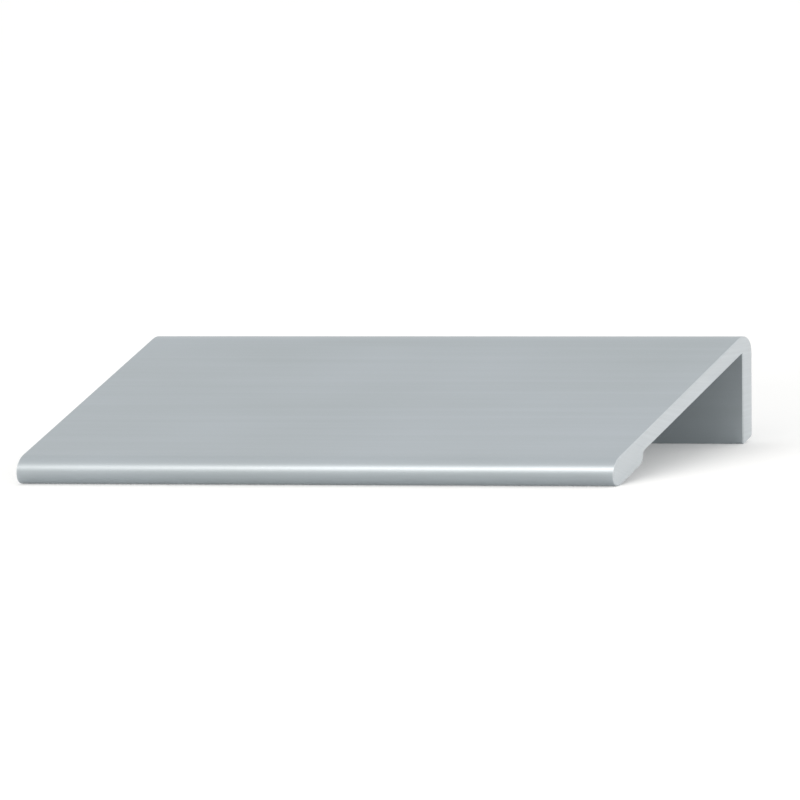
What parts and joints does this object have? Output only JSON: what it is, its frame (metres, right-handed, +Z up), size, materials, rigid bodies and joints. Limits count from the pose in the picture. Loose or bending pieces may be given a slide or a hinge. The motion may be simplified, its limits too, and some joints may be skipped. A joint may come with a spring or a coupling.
{
  "type": "cabinet edge pull",
  "caption": "Angle-section aluminium edge pull: a flat plate with a rounded finger bead along its front and a screw flange along its back.",
  "frame": {"origin": "on the floor under the middle of the pull, as it stands unheld, leaning on its flange's foot and its bead", "axes": "+X along the length, -Y towards the bead, +Z up. The plate's top leans 18.8 degrees forward from level"},
  "size_m": [0.1, 0.0484, 0.0174],
  "materials": {
    "anodised_aluminium": "satin, clear anodised"
  },
  "bodies": {
    "root": {"edge_pull": "anodised_aluminium"}
  },
  "joints": []
}
